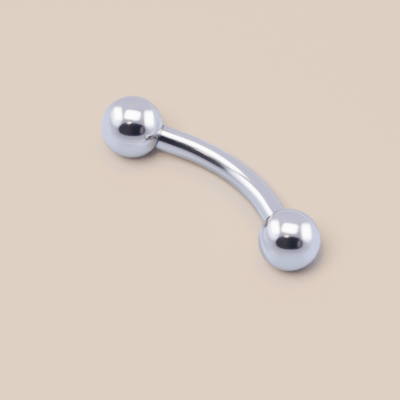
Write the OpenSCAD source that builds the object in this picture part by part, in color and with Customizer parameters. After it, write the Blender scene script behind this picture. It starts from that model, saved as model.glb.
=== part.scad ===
// Curved barbell for an eyebrow piercing: a bent steel bar with a ball screwed on each end.
// It lies as it does on a table: on both balls and on the belly of its bow.
// X runs along the line of the ball centres, the bow is on the side of +Y, and Z is up.
// The origin is below the middle of the whole piece, on the surface that it lies on.
// All lengths are in millimetres.

/* [Bar] */
// Diameter of the bar
bar_d = 1.2; // [1.0:0.1:1.6]
// Straight distance between the bar's two shoulders, which is the length it is sold by
bar_length = 8; // [7:0.5:12]
// Radius of the bend, to the middle of the bar
bend_r = 5.8; // [5.2:0.1:6.5]
// Slope of each straight end against the line of the ball centres, in degrees
end_slope = 28.8; // [24:0.2:32]
// Bevel round each shoulder
shoulder_bevel = 0.02; // [0.01:0.01:0.03]

/* [Balls] */
// Diameter of each ball
ball_d = 3; // [2.5:0.5:4]
// Length of the bar's end that sinks into the ball
seat_depth = 0.23; // [0.2:0.01:0.3]
// Gap all round between the bar's end and the wall of its seat
seat_gap = 0.03; // [0.02:0.01:0.05]
// Bevel round the mouth of the seat
mouth_bevel = 0.04; // [0.02:0.01:0.06]

/* [Threaded posts] */
// Width of the shoulder that the ball is screwed up to
shoulder_width = 0.1; // [0.06:0.01:0.12]
// Bevel round the tip of the post
tip_bevel = 0.12; // [0.05:0.01:0.15]
// Gap all round between the post and the wall of the hole in the ball
hole_gap = 0.03; // [0.02:0.01:0.05]
// Room in the hole beyond the tip of the post
tip_gap = 0.1; // [0.05:0.05:0.15]
// Metal left between the point of the hole and the far side of the ball
ball_wall = 0.55; // [0.4:0.05:0.65]

/* [Hidden] */
$fn = 96;

bar_r = bar_d / 2;
ball_r = ball_d / 2;

// Along the bar's end, in from the ball's centre to the shoulder and to the mouth of the seat.
seat_r = bar_r + seat_gap;
shoulder_in = sqrt(pow(ball_r, 2) - pow(bar_r, 2)) - seat_depth;
mouth_in = sqrt(pow(ball_r, 2) - pow(seat_r + mouth_bevel, 2));

// And out from the ball's centre to the end of the hole and to the tip of the post.
post_r = bar_r - shoulder_width;
hole_r = post_r + hole_gap;
drill_angle = 118;
drill_point = hole_r / tan(drill_angle / 2);
hole_out = ball_r - ball_wall - drill_point;
tip_out = hole_out - tip_gap;

// The bow seen square on, with the ball centres on its base line.
straight_length = (bar_length / 2 - bend_r * sin(end_slope)) / cos(end_slope);
end_length = straight_length + shoulder_in;
bow_rise = bend_r * (1 - cos(end_slope)) + end_length * sin(end_slope);

// Laid down, the bow drops until its belly is as low as the balls.
lie_angle = asin((ball_r - bar_r) / bow_rise);
back_y = -ball_r;
front_y = bow_rise * cos(lie_angle) + bar_r;
middle_y = (back_y + front_y) / 2;

// Each half of the bend is drawn a little too long, and trimmed at the middle of the bow.
trim_angle = 2;
trim_room = bend_r + bar_d;

// Lays its children, drawn square on, on the surface.
module laid_down() {
    translate([0, -middle_y, ball_r])
        rotate([-lie_angle, 0, 0])
            children();
}

// Moves the origin to the centre of the bend, with the bend's right end on +X.
module at_bend_centre() {
    translate([0, bow_rise - bend_r, 0])
        rotate([0, 0, 90 - end_slope])
            children();
}

// Moves the origin to the centre of the right ball, with +Z outwards along the bar's end.
module at_right_ball() {
    at_bend_centre()
        translate([bend_r, -end_length, 0])
            rotate([90, 0, 0])
                children();
}

// The right half of the bend, trimmed at the middle of the bow.
module half_bend() {
    intersection() {
        at_bend_centre()
            rotate_extrude(angle = end_slope + trim_angle)
                translate([bend_r, 0])
                    circle(r = bar_r);
        translate([0, -trim_room, -trim_room])
            cube([trim_room, 2 * trim_room, 2 * trim_room]);
    }
}

// The right end of the bar: a straight stretch, its shoulder, and the post that takes the ball.
// The post is plain, at the outside diameter of the thread that it stands for.
module bar_end() {
    at_right_ball()
        rotate_extrude()
            polygon([
                [0, -end_length],
                [bar_r, -end_length],
                [bar_r, -shoulder_in - shoulder_bevel],
                [bar_r - shoulder_bevel, -shoulder_in],
                [post_r, -shoulder_in],
                [post_r, tip_out - tip_bevel],
                [post_r - tip_bevel, tip_out],
                [0, tip_out]
            ]);
}

// The bar in one piece: two halves alike, each with its post.
module curved_bar() {
    color("gainsboro")
        laid_down()
            for (side = [0, 1])
                mirror([side, 0, 0]) {
                    half_bend();
                    bar_end();
                }
}

// The hole in a ball: a bevelled seat for the bar, and a drilled hole for the post.
module ball_hole() {
    bevel_r = seat_r + mouth_bevel + ball_r - mouth_in;
    translate([0, 0, -ball_r])
        cylinder(r1 = bevel_r, r2 = seat_r, h = ball_r - mouth_in + mouth_bevel);
    translate([0, 0, -ball_r])
        cylinder(r = seat_r, h = ball_r - shoulder_in);
    translate([0, 0, -ball_r])
        cylinder(r = hole_r, h = ball_r + hole_out);
    translate([0, 0, hole_out])
        cylinder(r1 = hole_r, r2 = 0, h = drill_point);
}

// A ball in its place on the right end of the bar, before the whole is laid down.
module ball() {
    at_right_ball()
        difference() {
            sphere(r = ball_r);
            ball_hole();
        }
}

module right_ball() {
    color("silver")
        laid_down()
            ball();
}

module left_ball() {
    color("silver")
        laid_down()
            mirror([1, 0, 0])
                ball();
}

curved_bar();
left_ball();
right_ball();
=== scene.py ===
"""Curved eyebrow barbell: polished steel bar and two screwed-on balls, on a pale floor in a light tent."""

import math

import bpy
from mathutils import Matrix, Vector


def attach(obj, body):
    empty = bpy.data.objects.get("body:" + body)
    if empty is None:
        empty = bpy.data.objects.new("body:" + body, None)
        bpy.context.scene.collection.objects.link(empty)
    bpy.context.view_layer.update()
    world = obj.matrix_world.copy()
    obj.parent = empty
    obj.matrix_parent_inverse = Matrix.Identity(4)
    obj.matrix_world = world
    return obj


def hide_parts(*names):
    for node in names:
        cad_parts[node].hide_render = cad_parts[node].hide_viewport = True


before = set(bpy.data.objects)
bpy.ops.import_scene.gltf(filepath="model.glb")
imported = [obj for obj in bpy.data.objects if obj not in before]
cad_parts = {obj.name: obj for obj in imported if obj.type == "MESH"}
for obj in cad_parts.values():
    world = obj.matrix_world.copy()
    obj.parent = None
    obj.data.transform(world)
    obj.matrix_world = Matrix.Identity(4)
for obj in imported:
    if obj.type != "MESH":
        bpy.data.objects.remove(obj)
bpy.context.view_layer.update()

MM = 0.001

# Sizes of the piece, in metres. BAR_R and BALL_R are a hair under the solids' 0.6 and 1.5 mm, so that
# the finished meshes stay inside the solids' box.
BAR_R = 0.5994 * MM
BEND_R = 5.8 * MM
END_SLOPE = math.radians(28.8)  # how far each end of the bend leans from its middle
STRAIGHT = 1.376035 * MM  # from the end of the bend to the shoulder
SHOULDER_ROUND = 0.02 * MM
POST_R = 0.5 * MM
TIP_BEVEL = 0.12 * MM
TIP_RING_R = 0.2 * MM  # a ring in the flat of the tip

BALL_R = 1.4945 * MM
FULL_BALL_R = 1.5 * MM
SEAT_R = 0.63 * MM
SEAT_DEPTH = 0.23 * MM
MOUTH_ROUND = 0.04 * MM
HOLE_R = 0.53 * MM
DRILL_POINT = 0.318456 * MM  # the cone at the end of the hole

# Along a ball's own axis, from its centre: the shoulder lies before it, and the rest past it.
SHOULDER_IN = 1.144773 * MM
POST_TIP = 0.531544 * MM
HOLE_END = 0.631544 * MM

PITCH = 0.25 * MM
THREAD_DEPTH = 0.11 * MM  # on the post
HOLE_THREAD_DEPTH = 0.06 * MM
THREAD_RUN_OUT = 0.12 * MM  # how long the thread takes to fade in and out
THREAD_TO_TIP = 0.1 * MM  # what the thread leaves plain before the post's tip
WALL_SLACK = 0.002 * MM  # how far from a wall's radius a point still counts as on it

# How the bow lies: its rise, half the way between the balls' centres, where its middle is, and its lean.
BOW_RISE = 1.931830 * MM
HALF_SPAN = 5.003172 * MM
MIDDLE_Y = 0.404688 * MM
LIE = math.radians(27.767162)

# How finely the shapes are divided.
AROUND = 128
PITCH_STEPS = 16
BEND_STEPS = 64
STRAIGHT_STEPS = 14
CORNER_STEPS = 4
BALL_STEPS = 110
SEAT_STEPS = 4


# ---------------------------------------------------------------- node helpers

def socket_in(tree, name, kind, value=None):
    """A named input on a node group."""
    made = tree.interface.new_socket(name, in_out="INPUT", socket_type=kind)
    if value is not None:
        made.default_value = value
    return made


def socket_out(tree, name, kind):
    """A named output on a node group."""
    return tree.interface.new_socket(name, in_out="OUTPUT", socket_type=kind)


class Wiring:
    """Short words for the nodes of one tree."""

    def __init__(self, tree):
        self.tree = tree

    def node(self, kind, **settings):
        made = self.tree.nodes.new(kind)
        for key, value in settings.items():
            setattr(made, key, value)
        return made

    def feed(self, source, target):
        """A value or another node's output into a socket."""
        if isinstance(source, bpy.types.NodeSocket):
            self.tree.links.new(source, target)
        else:
            target.default_value = source
        return target

    def math(self, operation, *values, clamp=False):
        made = self.node("ShaderNodeMath", operation=operation, use_clamp=clamp)
        for value, target in zip(values, made.inputs):
            self.feed(value, target)
        return made.outputs[0]

    def vector(self, operation, *values):
        made = self.node("ShaderNodeVectorMath", operation=operation)
        for value, target in zip(values, made.inputs):
            self.feed(value, target)
        scalar = operation in ("DOT_PRODUCT", "LENGTH")
        return made.outputs["Value" if scalar else "Vector"]

    def fade(self, value, start, end, low=0.0, high=1.0):
        """A smooth step from low at start to high at end."""
        made = self.node("ShaderNodeMapRange", interpolation_type="SMOOTHSTEP")
        for source, name in ((value, "Value"), (start, "From Min"), (end, "From Max"),
                             (low, "To Min"), (high, "To Max")):
            self.feed(source, made.inputs[name])
        return made.outputs["Result"]

    def blend(self, share, first, second):
        """A colour between two colours."""
        made = self.node("ShaderNodeMix", data_type="RGBA", clamp_factor=True)
        # A Mix node has its numbers, vectors and colours in one list: 0 is the share, 6 and 7 the colours.
        self.feed(share, made.inputs[0])
        self.feed(first, made.inputs[6])
        self.feed(second, made.inputs[7])
        return made.outputs[2]

    def apart(self, source):
        """The three parts of a vector."""
        made = self.node("ShaderNodeSeparateXYZ")
        self.feed(source, made.inputs[0])
        return made.outputs

    def noise(self, place, scale, detail, distortion=0.0):
        """A soft random pattern round 0.5, with scale in bumps per metre."""
        made = self.node("ShaderNodeTexNoise", noise_dimensions="3D")
        for source, name in ((place, "Vector"), (scale, "Scale"), (detail, "Detail"),
                             (distortion, "Distortion")):
            self.feed(source, made.inputs[name])
        return made.outputs[0]

    def joined(self, *values):
        """A vector from its three parts."""
        made = self.node("ShaderNodeCombineXYZ")
        for value, target in zip(values, made.inputs):
            self.feed(value, target)
        return made.outputs[0]

    def from_axis(self, x, y):
        """How far a point is from the Z axis."""
        return self.math("SQRT", self.math("ADD", self.math("MULTIPLY", x, x), self.math("MULTIPLY", y, y)))

    def bump(self, height, distance, normal=None):
        """A normal tilted by a height, over another normal where one is given."""
        made = self.node("ShaderNodeBump")
        self.feed(1.0, made.inputs["Strength"])
        self.feed(distance, made.inputs["Distance"])
        self.feed(height, made.inputs["Height"])
        if normal is not None:
            self.feed(normal, made.inputs["Normal"])
        return made.outputs[0]

    def contact(self, reach):
        """1 in the open, and less where something is nearer than reach."""
        made = self.node("ShaderNodeAmbientOcclusion", samples=16)
        self.feed(reach, made.inputs["Distance"])
        return made.outputs["AO"]


# ---------------------------------------------------------------- shapes

def turned(name, rows):
    """A closed turned shape on the Z axis. rows: (height, radius, sharp) from one pole to the other."""
    points = [(0.0, 0.0, rows[0][0])]
    for height, radius, _ in rows[1:-1]:
        for step in range(AROUND):
            turn = 2 * math.pi * step / AROUND
            points.append((radius * math.cos(turn), radius * math.sin(turn), height))
    points.append((0.0, 0.0, rows[-1][0]))
    ring_count = len(rows) - 2
    last = len(points) - 1
    faces = []
    for step in range(AROUND):
        following = (step + 1) % AROUND
        faces.append((0, 1 + step, 1 + following))
        end_ring = 1 + (ring_count - 1) * AROUND
        faces.append((last, end_ring + following, end_ring + step))
        for ring in range(ring_count - 1):
            near = 1 + ring * AROUND
            far = near + AROUND
            faces.append((near + step, far + step, far + following, near + following))
    mesh = bpy.data.meshes.new(name)
    mesh.from_pydata(points, [], faces)
    mesh.update()
    mesh.polygons.foreach_set("use_smooth", [True] * len(mesh.polygons))
    sharp_rings = {ring for ring, row in enumerate(rows[1:-1]) if row[2]}
    for edge in mesh.edges:
        first, second = edge.vertices
        if 0 < first < last and 0 < second < last:
            ring = (first - 1) // AROUND
            if ring == (second - 1) // AROUND and ring in sharp_rings:
                edge.use_edge_sharp = True
    if signed_volume(mesh) < 0:
        mesh.flip_normals()
    return mesh


def signed_volume(mesh):
    """Six times the volume inside a closed mesh, below zero where its faces point inwards."""
    total = 0.0
    mesh.calc_loop_triangles()
    for triangle in mesh.loop_triangles:
        a, b, c = (mesh.vertices[i].co for i in triangle.vertices)
        total += a.cross(b).dot(c)
    return total


def spaced(start, end, count):
    """count values from start to end, without start."""
    return [start + (end - start) * step / count for step in range(1, count + 1)]


def rounded(height, radius, size):
    """Rows of a quarter round of one size about (height, radius), from its widest row inwards."""
    rows = []
    for step in range(1, CORNER_STEPS + 1):
        turn = math.radians(90 - 90 * step / CORNER_STEPS)
        rows.append((height + size * math.cos(turn), radius + size * math.sin(turn), False))
    return rows


def bar_rows():
    """The bar drawn straight, as rows from its left tip to its right tip."""
    arc_half = BEND_R * END_SLOPE
    shoulder = arc_half + STRAIGHT
    tip = shoulder + SHOULDER_IN + POST_TIP
    plain_end = shoulder - SHOULDER_ROUND
    post_steps = round((tip - TIP_BEVEL - shoulder) / (PITCH / PITCH_STEPS))
    half = [(s, BAR_R, False) for s in spaced(0, arc_half, BEND_STEPS)]
    half += [(s, BAR_R, False) for s in spaced(arc_half, plain_end, STRAIGHT_STEPS)]
    half += rounded(plain_end, BAR_R - SHOULDER_ROUND, SHOULDER_ROUND)
    half += [(shoulder, POST_R + SHOULDER_ROUND, False), (shoulder, POST_R, True)]
    half += [(s, POST_R, False) for s in spaced(shoulder, tip - TIP_BEVEL, post_steps)]
    half += [(tip - TIP_BEVEL / 2, POST_R - TIP_BEVEL / 2, False), (tip, POST_R - TIP_BEVEL, True),
             (tip, TIP_RING_R, False), (tip, 0.0, False)]
    left = [(-s, r, sharp) for s, r, sharp in reversed(half)]
    return left + [(0.0, BAR_R, False)] + half


def ball_rows():
    """A ball as rows from the pole away from the bar, over its outside, and into its hole."""
    mouth_r = SEAT_R + MOUTH_ROUND
    mouth_turn = math.pi - math.asin(mouth_r / BALL_R)
    rows = [(BALL_R, 0.0, False)]
    rows += [(BALL_R * math.cos(t), BALL_R * math.sin(t), False)
             for t in spaced(0, mouth_turn, BALL_STEPS)]
    mouth_z = rows[-1][0]
    # The ball's skin is nearly square to the seat there, so the round is a little flatter than a quarter.
    for share in (0.3, 0.65, 1.0):
        turn = share * math.pi / 2
        rows.append((mouth_z + 0.9 * MOUTH_ROUND * (1 - math.cos(turn)),
                     mouth_r - MOUTH_ROUND * math.sin(turn), False))
    rows += [(z, SEAT_R, False) for z in spaced(rows[-1][0], -SHOULDER_IN, SEAT_STEPS)]
    rows[-1] = (-SHOULDER_IN, SEAT_R, True)
    rows.append((-SHOULDER_IN, (SEAT_R + HOLE_R) / 2, False))
    rows.append((-SHOULDER_IN, HOLE_R, True))
    hole_steps = round((HOLE_END + SHOULDER_IN) / (PITCH / PITCH_STEPS))
    rows += [(z, HOLE_R, False) for z in spaced(-SHOULDER_IN, HOLE_END, hole_steps)]
    rows[-1] = (HOLE_END, HOLE_R, True)
    rows.append((HOLE_END + DRILL_POINT / 2, HOLE_R / 2, False))
    rows.append((HOLE_END + DRILL_POINT, 0.0, False))
    return rows


def thread_tree():
    """Cuts a right-hand thread into the part of a turned shape that has one radius.

    It also keeps each point's place on the straight piece, which the finishes follow.
    """
    tree = bpy.data.node_groups.new("cut_thread", "GeometryNodeTree")
    socket_in(tree, "Geometry", "NodeSocketGeometry")
    socket_in(tree, "Wall Radius", "NodeSocketFloat", POST_R)
    socket_in(tree, "Start", "NodeSocketFloat", 0.0)
    socket_in(tree, "End", "NodeSocketFloat", 1.0)
    socket_in(tree, "Both Ends", "NodeSocketFloat", 0.0)
    socket_in(tree, "Pitch", "NodeSocketFloat", PITCH)
    socket_in(tree, "Depth", "NodeSocketFloat", THREAD_DEPTH)
    socket_in(tree, "Run Out", "NodeSocketFloat", THREAD_RUN_OUT)
    socket_in(tree, "Finish", "NodeSocketMaterial")
    socket_out(tree, "Geometry", "NodeSocketGeometry")
    w = Wiring(tree)
    given = w.node("NodeGroupInput").outputs
    place = w.node("GeometryNodeInputPosition").outputs[0]
    x, y, z = w.apart(place)

    # The groove goes once round for each pitch, and is rounded at its top and bottom.
    turn = w.math("DIVIDE", w.math("ARCTAN2", y, x), 2 * math.pi)
    phase = w.math("FRACT", w.math("SUBTRACT", w.math("DIVIDE", z, given["Pitch"]), turn))
    from_groove = w.math("ABSOLUTE", w.math("MULTIPLY_ADD", phase, 2.0, -1.0))
    groove = w.fade(from_groove, 0.12, 0.86, 1.0, 0.0)

    # It is cut between start and end, measured both ways from the middle where both ends have one.
    both_ways = w.node("ShaderNodeMix", data_type="FLOAT")
    for source, target in ((given["Both Ends"], 0), (z, 2), (w.math("ABSOLUTE", z), 3)):
        w.feed(source, both_ways.inputs[target])
    along = both_ways.outputs[0]
    run_out = given["Run Out"]
    rise = w.fade(along, given["Start"], w.math("ADD", given["Start"], run_out))
    fall = w.fade(along, w.math("SUBTRACT", given["End"], run_out), given["End"], 1.0, 0.0)
    off_wall = w.math("ABSOLUTE", w.math("SUBTRACT", w.from_axis(x, y), given["Wall Radius"]))
    on_wall = w.math("LESS_THAN", off_wall, WALL_SLACK)
    strength = w.math("MULTIPLY", w.math("MULTIPLY", rise, fall), on_wall)
    cut = w.math("MULTIPLY", w.math("MULTIPLY", groove, strength), given["Depth"])
    inwards = w.node("ShaderNodeVectorMath", operation="SCALE")
    w.feed(w.vector("NORMALIZE", w.vector("MULTIPLY", place, (1.0, 1.0, 0.0))), inwards.inputs[0])
    w.feed(w.math("MULTIPLY", cut, -1.0), inwards.inputs["Scale"])

    marked = kept(w, given["Geometry"], "threaded", "FLOAT", on_wall)
    marked = kept(w, marked, "straight_place", "FLOAT_VECTOR", place)
    move = w.node("GeometryNodeSetPosition")
    w.feed(marked, move.inputs["Geometry"])
    w.feed(inwards.outputs[0], move.inputs["Offset"])
    finish_with_material(w, move.outputs[0], given["Finish"])
    return tree


def kept(w, geometry, name, kind, value):
    """Keeps a value at each point under a name, for the trees and finishes that come later."""
    made = w.node("GeometryNodeStoreNamedAttribute", data_type=kind, domain="POINT")
    made.inputs["Name"].default_value = name
    w.feed(geometry, made.inputs["Geometry"])
    w.feed(value, made.inputs["Value"])
    return made.outputs[0]


def finish_with_material(w, geometry, finish):
    """Ends a tree: realizes what it holds, and gives the threaded faces their finish."""
    realize = w.node("GeometryNodeRealizeInstances")
    w.feed(geometry, realize.inputs[0])
    where = w.node("GeometryNodeInputNamedAttribute", data_type="FLOAT")
    where.inputs["Name"].default_value = "threaded"
    threaded = w.math("GREATER_THAN", where.outputs["Attribute"], 0.5)
    paint = w.node("GeometryNodeSetMaterial")
    w.feed(realize.outputs[0], paint.inputs["Geometry"])
    w.feed(threaded, paint.inputs["Selection"])
    w.feed(finish, paint.inputs["Material"])
    w.feed(paint.outputs[0], w.node("NodeGroupOutput").inputs[0])


def bend_tree():
    """Bends a straight turned bar in its middle, and leaves its ends straight."""
    tree = bpy.data.node_groups.new("bend_bar", "GeometryNodeTree")
    socket_in(tree, "Geometry", "NodeSocketGeometry")
    socket_in(tree, "Bend Radius", "NodeSocketFloat", BEND_R)
    socket_in(tree, "End Slope", "NodeSocketFloat", END_SLOPE)
    socket_in(tree, "Bow Rise", "NodeSocketFloat", BOW_RISE)
    socket_in(tree, "Finish", "NodeSocketMaterial")
    socket_out(tree, "Geometry", "NodeSocketGeometry")
    w = Wiring(tree)
    given = w.node("NodeGroupInput").outputs
    across, upright, along = w.apart(w.node("GeometryNodeInputPosition").outputs[0])
    bend, slope = given["Bend Radius"], given["End Slope"]
    reach = w.math("MULTIPLY", bend, slope)
    in_bend = w.math("MAXIMUM", w.math("MINIMUM", along, reach), w.math("MULTIPLY", reach, -1.0))
    past = w.math("SUBTRACT", along, in_bend)
    turn = w.math("DIVIDE", in_bend, bend)
    sine, cosine = w.math("SINE", turn), w.math("COSINE", turn)
    out = w.math("ADD", bend, across)
    new_x = w.math("ADD", w.math("MULTIPLY", out, sine), w.math("MULTIPLY", past, cosine))
    lift = w.math("SUBTRACT", given["Bow Rise"], bend)
    new_y = w.math("ADD", lift, w.math("SUBTRACT", w.math("MULTIPLY", out, cosine),
                                       w.math("MULTIPLY", past, sine)))
    move = w.node("GeometryNodeSetPosition")
    w.feed(given["Geometry"], move.inputs["Geometry"])
    w.feed(w.joined(new_x, new_y, upright), move.inputs["Position"])
    finish_with_material(w, move.outputs[0], given["Finish"])
    return tree


def shaped(mesh, *steps):
    """Runs a mesh through Geometry Nodes trees, each with its named inputs, and returns the plain result."""
    maker = bpy.data.objects.new(mesh.name + "_maker", mesh)
    bpy.context.scene.collection.objects.link(maker)
    for tree, values in steps:
        modifier = maker.modifiers.new(tree.name, "NODES")
        modifier.node_group = tree
        for item in tree.interface.items_tree:
            if item.item_type == "SOCKET" and item.in_out == "INPUT" and item.name in values:
                modifier[item.identifier] = values[item.name]
    bpy.context.view_layer.update()
    depsgraph = bpy.context.evaluated_depsgraph_get()
    result = bpy.data.meshes.new_from_object(maker.evaluated_get(depsgraph), depsgraph=depsgraph)
    bpy.data.objects.remove(maker)
    return result


def laid_down():
    """The move from the bow seen square on to the bow as it lies."""
    drop = Matrix.Translation((0.0, -MIDDLE_Y, FULL_BALL_R))
    return drop @ Matrix.Rotation(-LIE, 4, "X")


def at_ball(side):
    """The move from a ball on its own, +Z away from the bar, to its end of the bow.

    side is -1 for the left end and 1 for the right end.
    """
    sine, cosine = math.sin(END_SLOPE), math.cos(END_SLOPE)
    turn = Matrix(((side * sine, 0.0, side * cosine),
                   (cosine, 0.0, -sine),
                   (0.0, side, 0.0))).to_4x4()
    return laid_down() @ Matrix.Translation((side * HALF_SPAN, 0.0, 0.0)) @ turn


def settle(name, mesh, body, node):
    """Shows a finished mesh as the piece that stands for a node."""
    mesh.name = name
    piece = bpy.data.objects.new(name, mesh)
    bpy.context.scene.collection.objects.link(piece)
    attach(piece, body)
    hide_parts(node)


def make_bar(cut_thread, finishes):
    """The bent bar, with a thread on each post."""
    straight = turned("bar_straight", bar_rows())
    straight.materials.append(finishes["bar"])
    shoulder = BEND_R * END_SLOPE + STRAIGHT
    thread = {"Wall Radius": POST_R, "Start": shoulder, "Both Ends": 1.0, "Depth": THREAD_DEPTH,
              "End": shoulder + SHOULDER_IN + POST_TIP - THREAD_TO_TIP,
              "Run Out": THREAD_RUN_OUT, "Finish": finishes["machined"]}
    bar = shaped(straight, (cut_thread, thread), (bend_tree(), {"Finish": finishes["machined"]}))
    bar.transform(laid_down())
    settle("bent_bar", bar, "bar", "curved_bar")


def make_ball(side, name, body, node, cut_thread, finishes):
    """A drilled ball, with a thread in its hole. It is cut outwards, so its depth is below zero."""
    alone = turned(name + "_alone", ball_rows())
    alone.materials.append(finishes["ball"])
    thread = {"Wall Radius": HOLE_R, "Start": -SHOULDER_IN, "End": HOLE_END, "Both Ends": 0.0,
              "Depth": -HOLE_THREAD_DEPTH, "Run Out": THREAD_RUN_OUT, "Finish": finishes["machined"]}
    ball = shaped(alone, (cut_thread, thread))
    ball.transform(at_ball(side))
    settle(name, ball, body, node)


# ---------------------------------------------------------------- finishes

def polish_marks_group():
    """Fine scratches that polishing leaves: short hairlines in two directions, and a few deeper ones."""
    tree = bpy.data.node_groups.new("polish_marks", "ShaderNodeTree")
    socket_in(tree, "Place", "NodeSocketVector")
    socket_in(tree, "Hairlines per Metre", "NodeSocketFloat", 60000.0)
    socket_in(tree, "Length to Width", "NodeSocketFloat", 14.0)
    socket_in(tree, "Scratch Share", "NodeSocketFloat", 0.12)
    socket_out(tree, "Height", "NodeSocketFloat")
    socket_out(tree, "Marks", "NodeSocketFloat")
    w = Wiring(tree)
    given = w.node("NodeGroupInput").outputs
    squeeze = w.joined(1.0, 1.0, w.math("DIVIDE", 1.0, given["Length to Width"]))
    layers = []
    for turn in ((0.35, 0.9, 0.2), (1.5, -0.4, 0.8)):
        laid = w.node("ShaderNodeMapping", vector_type="POINT")
        w.feed(given["Place"], laid.inputs["Vector"])
        w.feed(turn, laid.inputs["Rotation"])
        stretched = w.vector("MULTIPLY", laid.outputs[0], squeeze)
        layers.append(w.noise(stretched, given["Hairlines per Metre"], 2.0))
    fine = w.math("MULTIPLY", w.math("ADD", *layers), 0.5)

    # A deeper scratch runs where a coarse noise crosses its middle, in some places only.
    coarse = w.noise(given["Place"], w.math("MULTIPLY", given["Hairlines per Metre"], 0.05), 1.0, 1.2)
    line = w.fade(w.math("ABSOLUTE", w.math("SUBTRACT", coarse, 0.5)), 0.0, 0.012, 1.0, 0.0)
    where = w.fade(layers[0], 0.5, 0.62)
    scratch = w.math("MULTIPLY", w.math("MULTIPLY", line, where), given["Scratch Share"])
    result = w.node("NodeGroupOutput").inputs
    w.feed(w.math("SUBTRACT", fine, scratch), result["Height"])
    w.feed(w.math("ADD", w.math("MULTIPLY", fine, 0.5), scratch, clamp=True), result["Marks"])
    return tree


def hand_wave_group():
    """The gentle unevenness of a hand-finished surface, as a height."""
    tree = bpy.data.node_groups.new("hand_wave", "ShaderNodeTree")
    socket_in(tree, "Place", "NodeSocketVector")
    socket_in(tree, "Waves per Metre", "NodeSocketFloat", 900.0)
    socket_in(tree, "Small Share", "NodeSocketFloat", 0.2)
    socket_out(tree, "Height", "NodeSocketFloat")
    w = Wiring(tree)
    given = w.node("NodeGroupInput").outputs
    swell = w.noise(given["Place"], given["Waves per Metre"], 1.0)
    ripple = w.noise(given["Place"], w.math("MULTIPLY", given["Waves per Metre"], 4.5), 2.0)
    small = w.math("MULTIPLY", ripple, given["Small Share"])
    w.feed(w.math("ADD", swell, small), w.node("NodeGroupOutput").inputs["Height"])
    return tree


def finish_drift_group():
    """How sheen and tone drift over polished steel: a rougher haze in patches, and two tones."""
    tree = bpy.data.node_groups.new("finish_drift", "ShaderNodeTree")
    socket_in(tree, "Place", "NodeSocketVector")
    socket_in(tree, "Patches per Metre", "NodeSocketFloat", 700.0)
    socket_in(tree, "Smoothest", "NodeSocketFloat", 0.1)
    socket_in(tree, "Roughest", "NodeSocketFloat", 0.16)
    socket_in(tree, "Marks", "NodeSocketFloat", 0.0)
    socket_in(tree, "Marks Dull", "NodeSocketFloat", 0.03)
    socket_in(tree, "Cold Tone", "NodeSocketColor", (0.74, 0.75, 0.79, 1.0))
    socket_in(tree, "Warm Tone", "NodeSocketColor", (0.76, 0.76, 0.79, 1.0))
    socket_out(tree, "Roughness", "NodeSocketFloat")
    socket_out(tree, "Color", "NodeSocketColor")
    w = Wiring(tree)
    given = w.node("NodeGroupInput").outputs
    haze = w.fade(w.noise(given["Place"], given["Patches per Metre"], 3.0), 0.35, 0.68)
    rough = w.math("MULTIPLY_ADD", w.math("SUBTRACT", given["Roughest"], given["Smoothest"]),
                   haze, given["Smoothest"])
    marked = w.math("MULTIPLY_ADD", given["Marks"], given["Marks Dull"], rough)
    broad = w.noise(given["Place"], w.math("MULTIPLY", given["Patches per Metre"], 0.4), 1.0)
    tone = w.blend(w.fade(broad, 0.35, 0.65), given["Cold Tone"], given["Warm Tone"])
    result = w.node("NodeGroupOutput").inputs
    w.feed(marked, result["Roughness"])
    w.feed(tone, result["Color"])
    return tree


def turning_lines_group():
    """The fine rings that a lathe tool leaves round a post or in a bore."""
    tree = bpy.data.node_groups.new("turning_lines", "ShaderNodeTree")
    socket_in(tree, "Place", "NodeSocketVector")
    socket_in(tree, "Lines per Metre", "NodeSocketFloat", 40000.0)
    socket_out(tree, "Height", "NodeSocketFloat")
    w = Wiring(tree)
    given = w.node("NodeGroupInput").outputs
    along = w.vector("MULTIPLY", given["Place"], (0.02, 0.02, 1.0))
    w.feed(w.noise(along, given["Lines per Metre"], 3.0), w.node("NodeGroupOutput").inputs["Height"])
    return tree


def painted_seat_shade_group():
    """Painted shade: a thin dark line where a ball meets the bar, and darker, rougher steel in its seat."""
    tree = bpy.data.node_groups.new("painted_seat_shade", "ShaderNodeTree")
    socket_in(tree, "Place", "NodeSocketVector")
    socket_in(tree, "Starts", "NodeSocketFloat", 1.0 * MM)
    socket_in(tree, "Full", "NodeSocketFloat", 1.1 * MM)
    socket_in(tree, "Both Ends", "NodeSocketFloat", 0.0)
    socket_in(tree, "Inside Radius", "NodeSocketFloat", 1.0 * MM)
    socket_in(tree, "Soft Edge", "NodeSocketFloat", 0.03 * MM)
    socket_in(tree, "Color", "NodeSocketColor")
    socket_in(tree, "Roughness", "NodeSocketFloat", 0.12)
    socket_in(tree, "Dark Tone", "NodeSocketColor", (0.11, 0.10, 0.09, 1.0))
    socket_in(tree, "Seat Line Dulls", "NodeSocketFloat", 0.2)
    socket_out(tree, "Color", "NodeSocketColor")
    socket_out(tree, "Roughness", "NodeSocketFloat")
    w = Wiring(tree)
    given = w.node("NodeGroupInput").outputs
    x, y, z = w.apart(given["Place"])
    along = w.math("MAXIMUM", w.math("MULTIPLY", z, -1.0), w.math("MULTIPLY", z, given["Both Ends"]))
    edge = w.math("ADD", given["Inside Radius"], given["Soft Edge"])
    near_axis = w.fade(w.from_axis(x, y), given["Inside Radius"], edge, 1.0, 0.0)
    seat_shade = w.math("MULTIPLY", w.fade(along, given["Starts"], given["Full"]), near_axis)
    result = w.node("NodeGroupOutput").inputs
    w.feed(w.blend(seat_shade, given["Color"], given["Dark Tone"]), result["Color"])
    w.feed(w.math("MULTIPLY_ADD", seat_shade, given["Seat Line Dulls"], given["Roughness"]), result["Roughness"])
    return tree


def new_material(name):
    """An empty material, and the wiring of its nodes."""
    material = bpy.data.materials.new(name)
    material.use_nodes = True
    material.node_tree.nodes.clear()
    return material, Wiring(material.node_tree)


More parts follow.
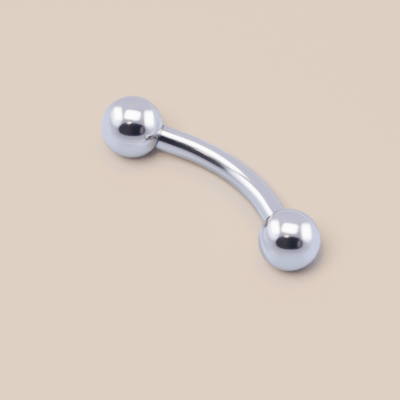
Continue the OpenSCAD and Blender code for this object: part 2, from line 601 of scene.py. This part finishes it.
def placed(w, group, **values):
    """A node group in a material, with its values by socket name (spaces written as _)."""
    made = w.node("ShaderNodeGroup")
    made.node_tree = group
    for name, value in values.items():
        w.feed(value, made.inputs[name.replace("_", " ")])
    return made.outputs


# Painted shade: the steel's colour darkens where the bar, a ball and the floor come close together,
# and steel that shows in other steel is painted darker, as in the photograph.
CORNER_REACH = 0.9 * MM
CORNER_DARK = 0.50  # how open a spot is where the painted shade is darkest
CORNER_CLEAR = 1.0
PAINTED_CORNER_SHADE = (0.25, 0.25, 0.28, 1.0)
PAINTED_REFLECTION_SHADE = (0.33, 0.32, 0.30, 1.0)

# Where the seat's painted shade starts and is full: on the bar before the mouth of a ball's seat, and in
# a ball from its centre. A radius that is clear of the bar takes in all of it.
SHADE_BEFORE_MOUTH = 0.07 * MM
FULL_BEFORE_MOUTH = 0.02 * MM
CLEAR_OF_BAR = 1.0 * MM
SHADE_IN_BALL = 1.0 * MM
FULL_IN_BALL = 1.1 * MM


def steel(name, groups, cold, warm, smoothest, roughest, wave_height, mark_height, seat=None,
          lines=False):
    """Polished surgical steel, or a thread's machined steel if lines is set, with painted shade."""
    material, w = new_material(name)
    place = w.node("ShaderNodeAttribute", attribute_name="straight_place").outputs["Vector"]
    marks = placed(w, groups["marks"], Place=place)
    wave = placed(w, groups["wave"], Place=place)
    relief = placed(w, groups["lines"], Place=place) if lines else marks
    normal = w.bump(relief["Height"], mark_height, w.bump(wave["Height"], wave_height))
    finish = placed(w, groups["drift"], Place=place, Marks=marks["Marks"], Cold_Tone=cold,
                    Warm_Tone=warm, Smoothest=smoothest, Roughest=roughest)
    # Painted shade along the seat: a dark line at the joint and in the seat, with rougher steel there.
    if seat:
        finish = placed(w, groups["seat_shade"], Place=place, Color=finish["Color"],
                        Roughness=finish["Roughness"], **seat)
    # Painted shade in tight corners: the colour darkens where ambient occlusion finds other surfaces close.
    open_air = w.fade(w.contact(CORNER_REACH), CORNER_DARK, CORNER_CLEAR)
    tone = w.blend(open_air, PAINTED_CORNER_SHADE, finish["Color"])
    # Painted reflection: steel seen in other steel takes a darker colour than the steel itself.
    in_other_steel = w.node("ShaderNodeLightPath").outputs["Is Glossy Ray"]
    shader = w.node("ShaderNodeBsdfPrincipled")
    w.feed(w.blend(in_other_steel, tone, PAINTED_REFLECTION_SHADE), shader.inputs["Base Color"])
    w.feed(finish["Roughness"], shader.inputs["Roughness"])
    w.feed(normal, shader.inputs["Normal"])
    w.feed(1.0, shader.inputs["Metallic"])
    w.feed(shader.outputs[0], w.node("ShaderNodeOutputMaterial").inputs["Surface"])
    return material


def make_finishes():
    """The three finishes of the barbell."""
    groups = {"marks": polish_marks_group(), "wave": hand_wave_group(),
              "drift": finish_drift_group(), "lines": turning_lines_group(), "seat_shade": painted_seat_shade_group()}
    seat_mouth = BEND_R * END_SLOPE + STRAIGHT - SEAT_DEPTH  # along the bar from its middle
    bar_seat = {"Starts": seat_mouth - SHADE_BEFORE_MOUTH, "Full": seat_mouth - FULL_BEFORE_MOUTH,
                "Both_Ends": 1.0, "Inside_Radius": CLEAR_OF_BAR}
    ball_seat = {"Starts": SHADE_IN_BALL, "Full": FULL_IN_BALL,
                 "Both_Ends": 0.0, "Inside_Radius": SEAT_R + MOUTH_ROUND}
    return {
        "bar": steel("polished_bar_steel", groups, cold=(0.73, 0.745, 0.785, 1.0),
                     warm=(0.755, 0.755, 0.785, 1.0), smoothest=0.10, roughest=0.16,
                     wave_height=1.2e-6, mark_height=2.0e-8, seat=bar_seat),
        "ball": steel("polished_ball_steel", groups, cold=(0.75, 0.76, 0.80, 1.0),
                      warm=(0.77, 0.77, 0.80, 1.0), smoothest=0.10, roughest=0.15,
                      wave_height=0.5e-6, mark_height=1.5e-8, seat=ball_seat),
        "machined": steel("machined_thread_steel", groups, cold=(0.66, 0.67, 0.70, 1.0),
                          warm=(0.69, 0.69, 0.71, 1.0), smoothest=0.24, roughest=0.34,
                          wave_height=0.4e-6, mark_height=4.0e-7, lines=True),
    }


# ---------------------------------------------------------------- studio

# The photograph's view: how far it is turned and raised, how far off the lens is, how much floor it takes
# in, and how far its middle lies to the left of and below the middle of the line between the balls.
VIEW_TURN = math.radians(41.2)
VIEW_HEIGHT = math.radians(55.6)
VIEW_DISTANCE = 0.45
VIEW_WIDTH = 19.19 * MM
MIDDLE_RIGHT = 0.500 * MM
MIDDLE_UP = 0.806 * MM
SENSOR_WIDTH = 36.0  # in millimetres, as the camera counts it

TO_LENS = Vector((math.sin(VIEW_TURN) * math.cos(VIEW_HEIGHT),
                  -math.cos(VIEW_TURN) * math.cos(VIEW_HEIGHT), math.sin(VIEW_HEIGHT)))
RIGHT = Vector((math.cos(VIEW_TURN), math.sin(VIEW_TURN), 0.0))
UP = TO_LENS.cross(RIGHT)

# What the steel shows of each part of the tent is that part's light times the steel's own tone.
STEEL_TONE = 0.765
CLOTH = (0.865, 0.784, 1.188)
BACK_CLOTH = (0.769, 0.731, 1.057)
SEAM = (0.60, 0.52, 0.72)
SHADED_CLOTH = (0.431, 0.391, 0.479)
UNDER_OPENING = (0.459, 0.433, 0.585)
PANEL = (12.5, 12.3, 12.7)
PANEL_TAIL = (3.3, 3.4, 5.0)
OPENING_LEFT = (0.048, 0.043, 0.054)
OPENING_RIGHT = (0.018, 0.018, 0.034)
OPENING_FRAME = (0.183, 0.146, 0.181)
LAMP = (5.5, 4.2, 4.0)

# The floor and the backdrop as the camera sees them, and then the floor as the steel mirrors it.
BEIGE = (0.700, 0.459, 0.271, 1.0)
BEIGE_LIT = (2.249, 1.474, 0.869, 1.0)
# Painted contact shadow on the beige floor close to the barbell.
BEIGE_PAINTED_SHADE = (0.590, 0.422, 0.318, 1.0)
FLOOR_NEAR = (0.325, 0.355, 0.515, 1.0)
# Painted light and shade on the mirrored floor: darker far off and behind, brighter to the sides.
FLOOR_FAR = (0.290, 0.290, 0.375, 1.0)
FLOOR_SIDES_PAINTED_LIGHT = (0.455, 0.490, 0.84, 1.0)
FLOOR_BACK_PAINTED_SHADE = (0.330, 0.302, 0.425, 1.0)
# Painted shade on the mirrored cloth close to the barbell.
CLOTH_PAINTED_SHADE = (0.190, 0.175, 0.170, 1.0)
BEIGE_CORNER_REACH = 0.9 * MM
CLOTH_CORNER_REACH = 3.0 * MM
FLOOR_REACH = 1.2  # to each side

# Soft shadows on the floor as the steel mirrors it: one under the bar's left half, and fainter ones in
# front of its right end and of its middle, near and far. Each has its middle, its half size and its depth.
MIRRORED_SHADOWS = (((-1.25 * MM, 0.10 * MM), (1.50 * MM, 1.05 * MM), 0.86),
                    ((3.10 * MM, -1.80 * MM), (1.70 * MM, 1.15 * MM), 0.80),
                    ((0.20 * MM, -6.60 * MM), (3.20 * MM, 1.80 * MM), 0.40),
                    ((9.00 * MM, -21.0 * MM), (9.50 * MM, 7.00 * MM), 0.40))


def seen_in_steel(colour):
    """The tent's own light, where colour is what the steel shows of it."""
    return tuple(part / STEEL_TONE for part in colour) + (1.0,)


def patch(w, u, v, middle, half, lean=(0.0, 0.0), power=4.0, soft=0.1):
    """1 inside a rounded box on the tent or the floor and 0 outside it, with a soft edge.

    lean slants its sides and its top and bottom. A higher power makes its corners squarer.
    """
    from_u = w.math("SUBTRACT", u, middle[0])
    from_v = w.math("SUBTRACT", v, middle[1])
    across = w.math("DIVIDE", w.math("MULTIPLY_ADD", from_v, lean[0], from_u), half[0])
    upward = w.math("DIVIDE", w.math("MULTIPLY_ADD", from_u, lean[1], from_v), half[1])
    total = w.math("ADD", w.math("POWER", w.math("ABSOLUTE", across), power),
                   w.math("POWER", w.math("ABSOLUTE", upward), power))
    return w.fade(w.math("POWER", total, 1.0 / power), 1.0 - soft, 1.0 + soft, 1.0, 0.0)


def tent_cloth(w, u, v):
    """The unlit cloth of the tent, by its place in the steel's mirror image: u to the right, v upwards."""
    cloth = w.blend(w.fade(v, 0.12, 0.32), seen_in_steel(SHADED_CLOTH), seen_in_steel(SEAM))
    cloth = w.blend(w.fade(v, 0.45, 0.62), cloth, seen_in_steel(CLOTH))
    cloth = w.blend(w.fade(v, 0.08, -0.12), cloth, seen_in_steel(BACK_CLOTH))
    shade = patch(w, u, v, (-0.003, -0.135), (0.545, 0.295), lean=(0.0, 0.05), power=2.3, soft=0.20)
    cloth = w.blend(shade, cloth, seen_in_steel(UNDER_OPENING))
    outwards = w.fade(w.math("ABSOLUTE", u), 0.50, 0.72)
    cloth = w.blend(outwards, cloth, seen_in_steel(CLOTH))
    return w.blend(w.fade(v, 0.72, 0.92), cloth, seen_in_steel(BACK_CLOTH))


def tent_panels(w, u, v, cloth):
    """The three lit panels over the barbell: one in the middle, and a softer one on each side."""
    tail_left = patch(w, u, v, (-0.530, 0.29), (0.135, 0.24), lean=(0.2, 0.0), power=2.5, soft=0.45)
    tail_right = patch(w, u, v, (0.560, 0.23), (0.145, 0.26), lean=(0.1, 0.0), power=2.5, soft=0.36)
    lit = w.blend(w.math("MAXIMUM", tail_left, tail_right), cloth, seen_in_steel(PANEL_TAIL))
    left = patch(w, u, v, (-0.455, 0.415), (0.118, 0.197), lean=(0.10, 0.0), power=4.4, soft=0.40)
    right = patch(w, u, v, (0.545, 0.270), (0.130, 0.220), lean=(0.07, 0.0), power=4.4, soft=0.40)
    sides = w.math("POWER", w.math("MAXIMUM", left, right), 1.5)
    middle = patch(w, u, v, (0.013, 0.376), (0.236, 0.135), lean=(-0.32, 0.16), power=4.8, soft=0.17)
    return w.blend(w.math("MAXIMUM", sides, middle), lit, seen_in_steel(PANEL))


def tent_opening(w, u, v, lit):
    """The dark opening that the picture is taken through, its frame, and a small lamp over it."""
    dark = w.blend(w.fade(u, -0.15, 0.1), seen_in_steel(OPENING_LEFT), seen_in_steel(OPENING_RIGHT))
    hole = patch(w, u, v, (-0.010, -0.090), (0.440, 0.220), lean=(0.0, 0.05), power=2.5, soft=0.10)
    opened = w.blend(hole, lit, dark)
    frame_edge = patch(w, u, v, (0.315, -0.115), (0.055, 0.105), lean=(-0.1, 0.0), power=2.5, soft=0.35)
    opened = w.blend(frame_edge, opened, seen_in_steel(OPENING_FRAME))
    lamp = patch(w, u, v, (-0.09, 0.130), (0.058, 0.021), power=2.4, soft=0.45)
    return w.blend(lamp, opened, seen_in_steel(LAMP))


def light_tent():
    """The sky: a cloth tent that shows in the steel, and a plain backdrop that the camera sees."""
    world = bpy.data.worlds.new("light_tent")
    world.use_nodes = True
    tree = world.node_tree
    tree.nodes.clear()
    w = Wiring(tree)
    ray = w.node("ShaderNodeTexCoord").outputs["Generated"]
    half_way = w.vector("NORMALIZE", w.vector("ADD", ray, tuple(TO_LENS)))
    u = w.vector("DOT_PRODUCT", half_way, tuple(RIGHT))
    v = w.vector("DOT_PRODUCT", half_way, tuple(UP))
    tent = w.node("ShaderNodeBackground")
    w.feed(tent_opening(w, u, v, tent_panels(w, u, v, tent_cloth(w, u, v))), tent.inputs["Color"])
    backdrop = w.node("ShaderNodeBackground")
    w.feed(BEIGE_LIT, backdrop.inputs["Color"])
    choice = w.node("ShaderNodeMixShader")
    w.feed(w.node("ShaderNodeLightPath").outputs["Is Camera Ray"], choice.inputs[0])
    w.feed(tent.outputs[0], choice.inputs[1])
    w.feed(backdrop.outputs[0], choice.inputs[2])
    w.feed(choice.outputs[0], w.node("ShaderNodeOutputWorld").inputs["Surface"])
    bpy.context.scene.world = world
    world.cycles_visibility.diffuse = False


def soft_lamp(name, aim_from, distance, size, power, colour):
    """A round soft lamp that lights the floor and doesn't mirror in the steel."""
    lamp = bpy.data.lights.new(name, "AREA")
    lamp.shape = "DISK"
    lamp.size = size
    lamp.energy = power
    lamp.color = colour
    holder = bpy.data.objects.new(name, lamp)
    direction = aim_from.normalized()
    holder.matrix_world = (Matrix.Translation(distance * direction)
                           @ direction.to_track_quat("Z", "Y").to_matrix().to_4x4())
    holder.visible_camera = False
    holder.visible_glossy = False
    bpy.context.scene.collection.objects.link(holder)


def make_lamps():
    """A lamp close to the lens, whose shadow falls to the lower right, and a weak one overhead."""
    soft_lamp("lamp_by_lens", TO_LENS - 0.32 * RIGHT + 0.36 * UP, distance=0.6, size=0.37,
              power=9.75, colour=(1.0, 0.906, 0.714))
    soft_lamp("lamp_overhead", Vector((0.0, 0.0, 1.0)) - 0.12 * RIGHT, distance=0.5, size=1.8,
              power=17.1, colour=(0.565, 0.708, 1.0))


def mirrored_cloth(w, spot):
    """The pale blue cloth that the steel mirrors in the floor, by the spot on the floor.

    Painted light and shade set its tone by how far the spot is from the barbell and on which side of it,
    as the picture shows them: brighter off to a side, darker behind, far off in front and close by.
    """
    x, y, _ = w.apart(spot)
    side = w.math("MAXIMUM", w.math("MINIMUM", w.math("DIVIDE", x, 3 * MM), 1.0), -1.0)
    nearest = w.joined(w.math("MULTIPLY", side, HALF_SPAN), -MIDDLE_Y)
    outwards = w.vector("NORMALIZE", w.vector("SUBTRACT", spot, nearest))
    rightwards = w.vector("DOT_PRODUCT", outwards, tuple(RIGHT))
    forwards = w.vector("DOT_PRODUCT", outwards, tuple(RIGHT.cross(Vector((0.0, 0.0, 1.0)))))
    from_middle = w.vector("LENGTH", spot)

    # Painted shade: the mirrored floor is darker far off in front and behind.
    front = w.blend(w.fade(from_middle, 8 * MM, 30 * MM), FLOOR_NEAR, FLOOR_FAR)
    cloth = w.blend(w.fade(forwards, -0.3, 0.3), FLOOR_BACK_PAINTED_SHADE, front)

    # Painted light: the sides are brighter, but not far off in front, and less so close behind the bar's
    # right end.
    far_front = w.math("MULTIPLY", w.fade(from_middle, 9 * MM, 24 * MM), w.fade(forwards, 0.05, 0.45))
    right_back = w.math("MULTIPLY", w.fade(forwards, -0.35, -0.62), w.fade(rightwards, 0.2, 0.6))
    right_back = w.math("MULTIPLY", right_back, w.fade(from_middle, 10 * MM, 6 * MM))
    sideways = w.math("ABSOLUTE", rightwards)
    sideways = w.math("MULTIPLY_ADD", w.fade(forwards, 0.3, -0.1), 0.14, sideways)
    sideways = w.math("MULTIPLY_ADD", right_back, -0.30, sideways)
    side_light = w.math("MULTIPLY", w.fade(sideways, 0.50, 1.0), w.math("SUBTRACT", 1.0, far_front))
    cloth = w.blend(side_light, cloth, FLOOR_SIDES_PAINTED_LIGHT)

    # Painted shade: the mirrored cloth darkens where ambient occlusion finds the barbell close, and under
    # the soft shadows.
    clear = w.fade(w.contact(CLOTH_CORNER_REACH), 0.41, 0.97)
    for middle, half, depth in MIRRORED_SHADOWS:
        shadow = patch(w, x, y, middle, half, power=2.0, soft=0.38)
        clear = w.math("MULTIPLY", clear, w.math("MULTIPLY_ADD", shadow, -depth, 1.0))
    return w.blend(clear, CLOTH_PAINTED_SHADE, cloth)


def floor_finish():
    """The pale floor: beige to the camera, and the tent's pale blue cloth where the steel mirrors it."""
    material, w = new_material("pale_floor")
    cloth = mirrored_cloth(w, w.node("ShaderNodeTexCoord").outputs["Object"])
    # Painted contact shadow: the beige darkens where ambient occlusion finds the barbell close.
    open_floor = w.fade(w.contact(BEIGE_CORNER_REACH), 0.72, 1.0)
    beige = w.blend(open_floor, BEIGE_PAINTED_SHADE, BEIGE)
    seen = w.node("ShaderNodeLightPath").outputs["Is Camera Ray"]
    shader = w.node("ShaderNodeBsdfDiffuse")
    w.feed(w.blend(seen, cloth, beige), shader.inputs["Color"])

    # From below, the camera sees through the floor to the barbell.
    from_below = w.math("MULTIPLY", seen, w.node("ShaderNodeNewGeometry").outputs["Backfacing"])
    see_through = w.node("ShaderNodeMixShader")
    w.feed(from_below, see_through.inputs[0])
    w.feed(shader.outputs[0], see_through.inputs[1])
    w.feed(w.node("ShaderNodeBsdfTransparent").outputs[0], see_through.inputs[2])
    w.feed(see_through.outputs[0], w.node("ShaderNodeOutputMaterial").inputs["Surface"])
    return material


def make_floor():
    """A plain floor under the barbell."""
    mesh = bpy.data.meshes.new("pale_floor")
    corners = [(-FLOOR_REACH, -FLOOR_REACH, 0), (FLOOR_REACH, -FLOOR_REACH, 0),
               (FLOOR_REACH, FLOOR_REACH, 0), (-FLOOR_REACH, FLOOR_REACH, 0)]
    mesh.from_pydata(corners, [], [(0, 1, 2, 3)])
    mesh.materials.append(floor_finish())
    floor = bpy.data.objects.new("pale_floor", mesh)
    bpy.context.scene.collection.objects.link(floor)


def make_camera():
    """The photograph's view, from above the floor at the barbell's right front."""
    lens = bpy.data.cameras.new("photo_view")
    lens.sensor_width = SENSOR_WIDTH
    lens.lens = SENSOR_WIDTH * VIEW_DISTANCE / VIEW_WIDTH
    lens.clip_start = 0.01
    camera = bpy.data.objects.new("photo_view", lens)
    middle = Vector((0.0, -MIDDLE_Y, FULL_BALL_R))
    aim = middle - MIDDLE_RIGHT * RIGHT - MIDDLE_UP * UP
    turn = Matrix((RIGHT, UP, TO_LENS)).transposed().to_4x4()
    camera.matrix_world = Matrix.Translation(aim + VIEW_DISTANCE * TO_LENS) @ turn
    bpy.context.scene.collection.objects.link(camera)
    bpy.context.scene.camera = camera


# ---------------------------------------------------------------- assembly


make_camera()
light_tent()
make_lamps()
make_floor()
finishes = make_finishes()
cut_thread = thread_tree()
make_bar(cut_thread, finishes)
make_ball(-1, "ball_at_left", "left_end", "left_ball", cut_thread, finishes)
make_ball(1, "ball_at_right", "right_end", "right_ball", cut_thread, finishes)
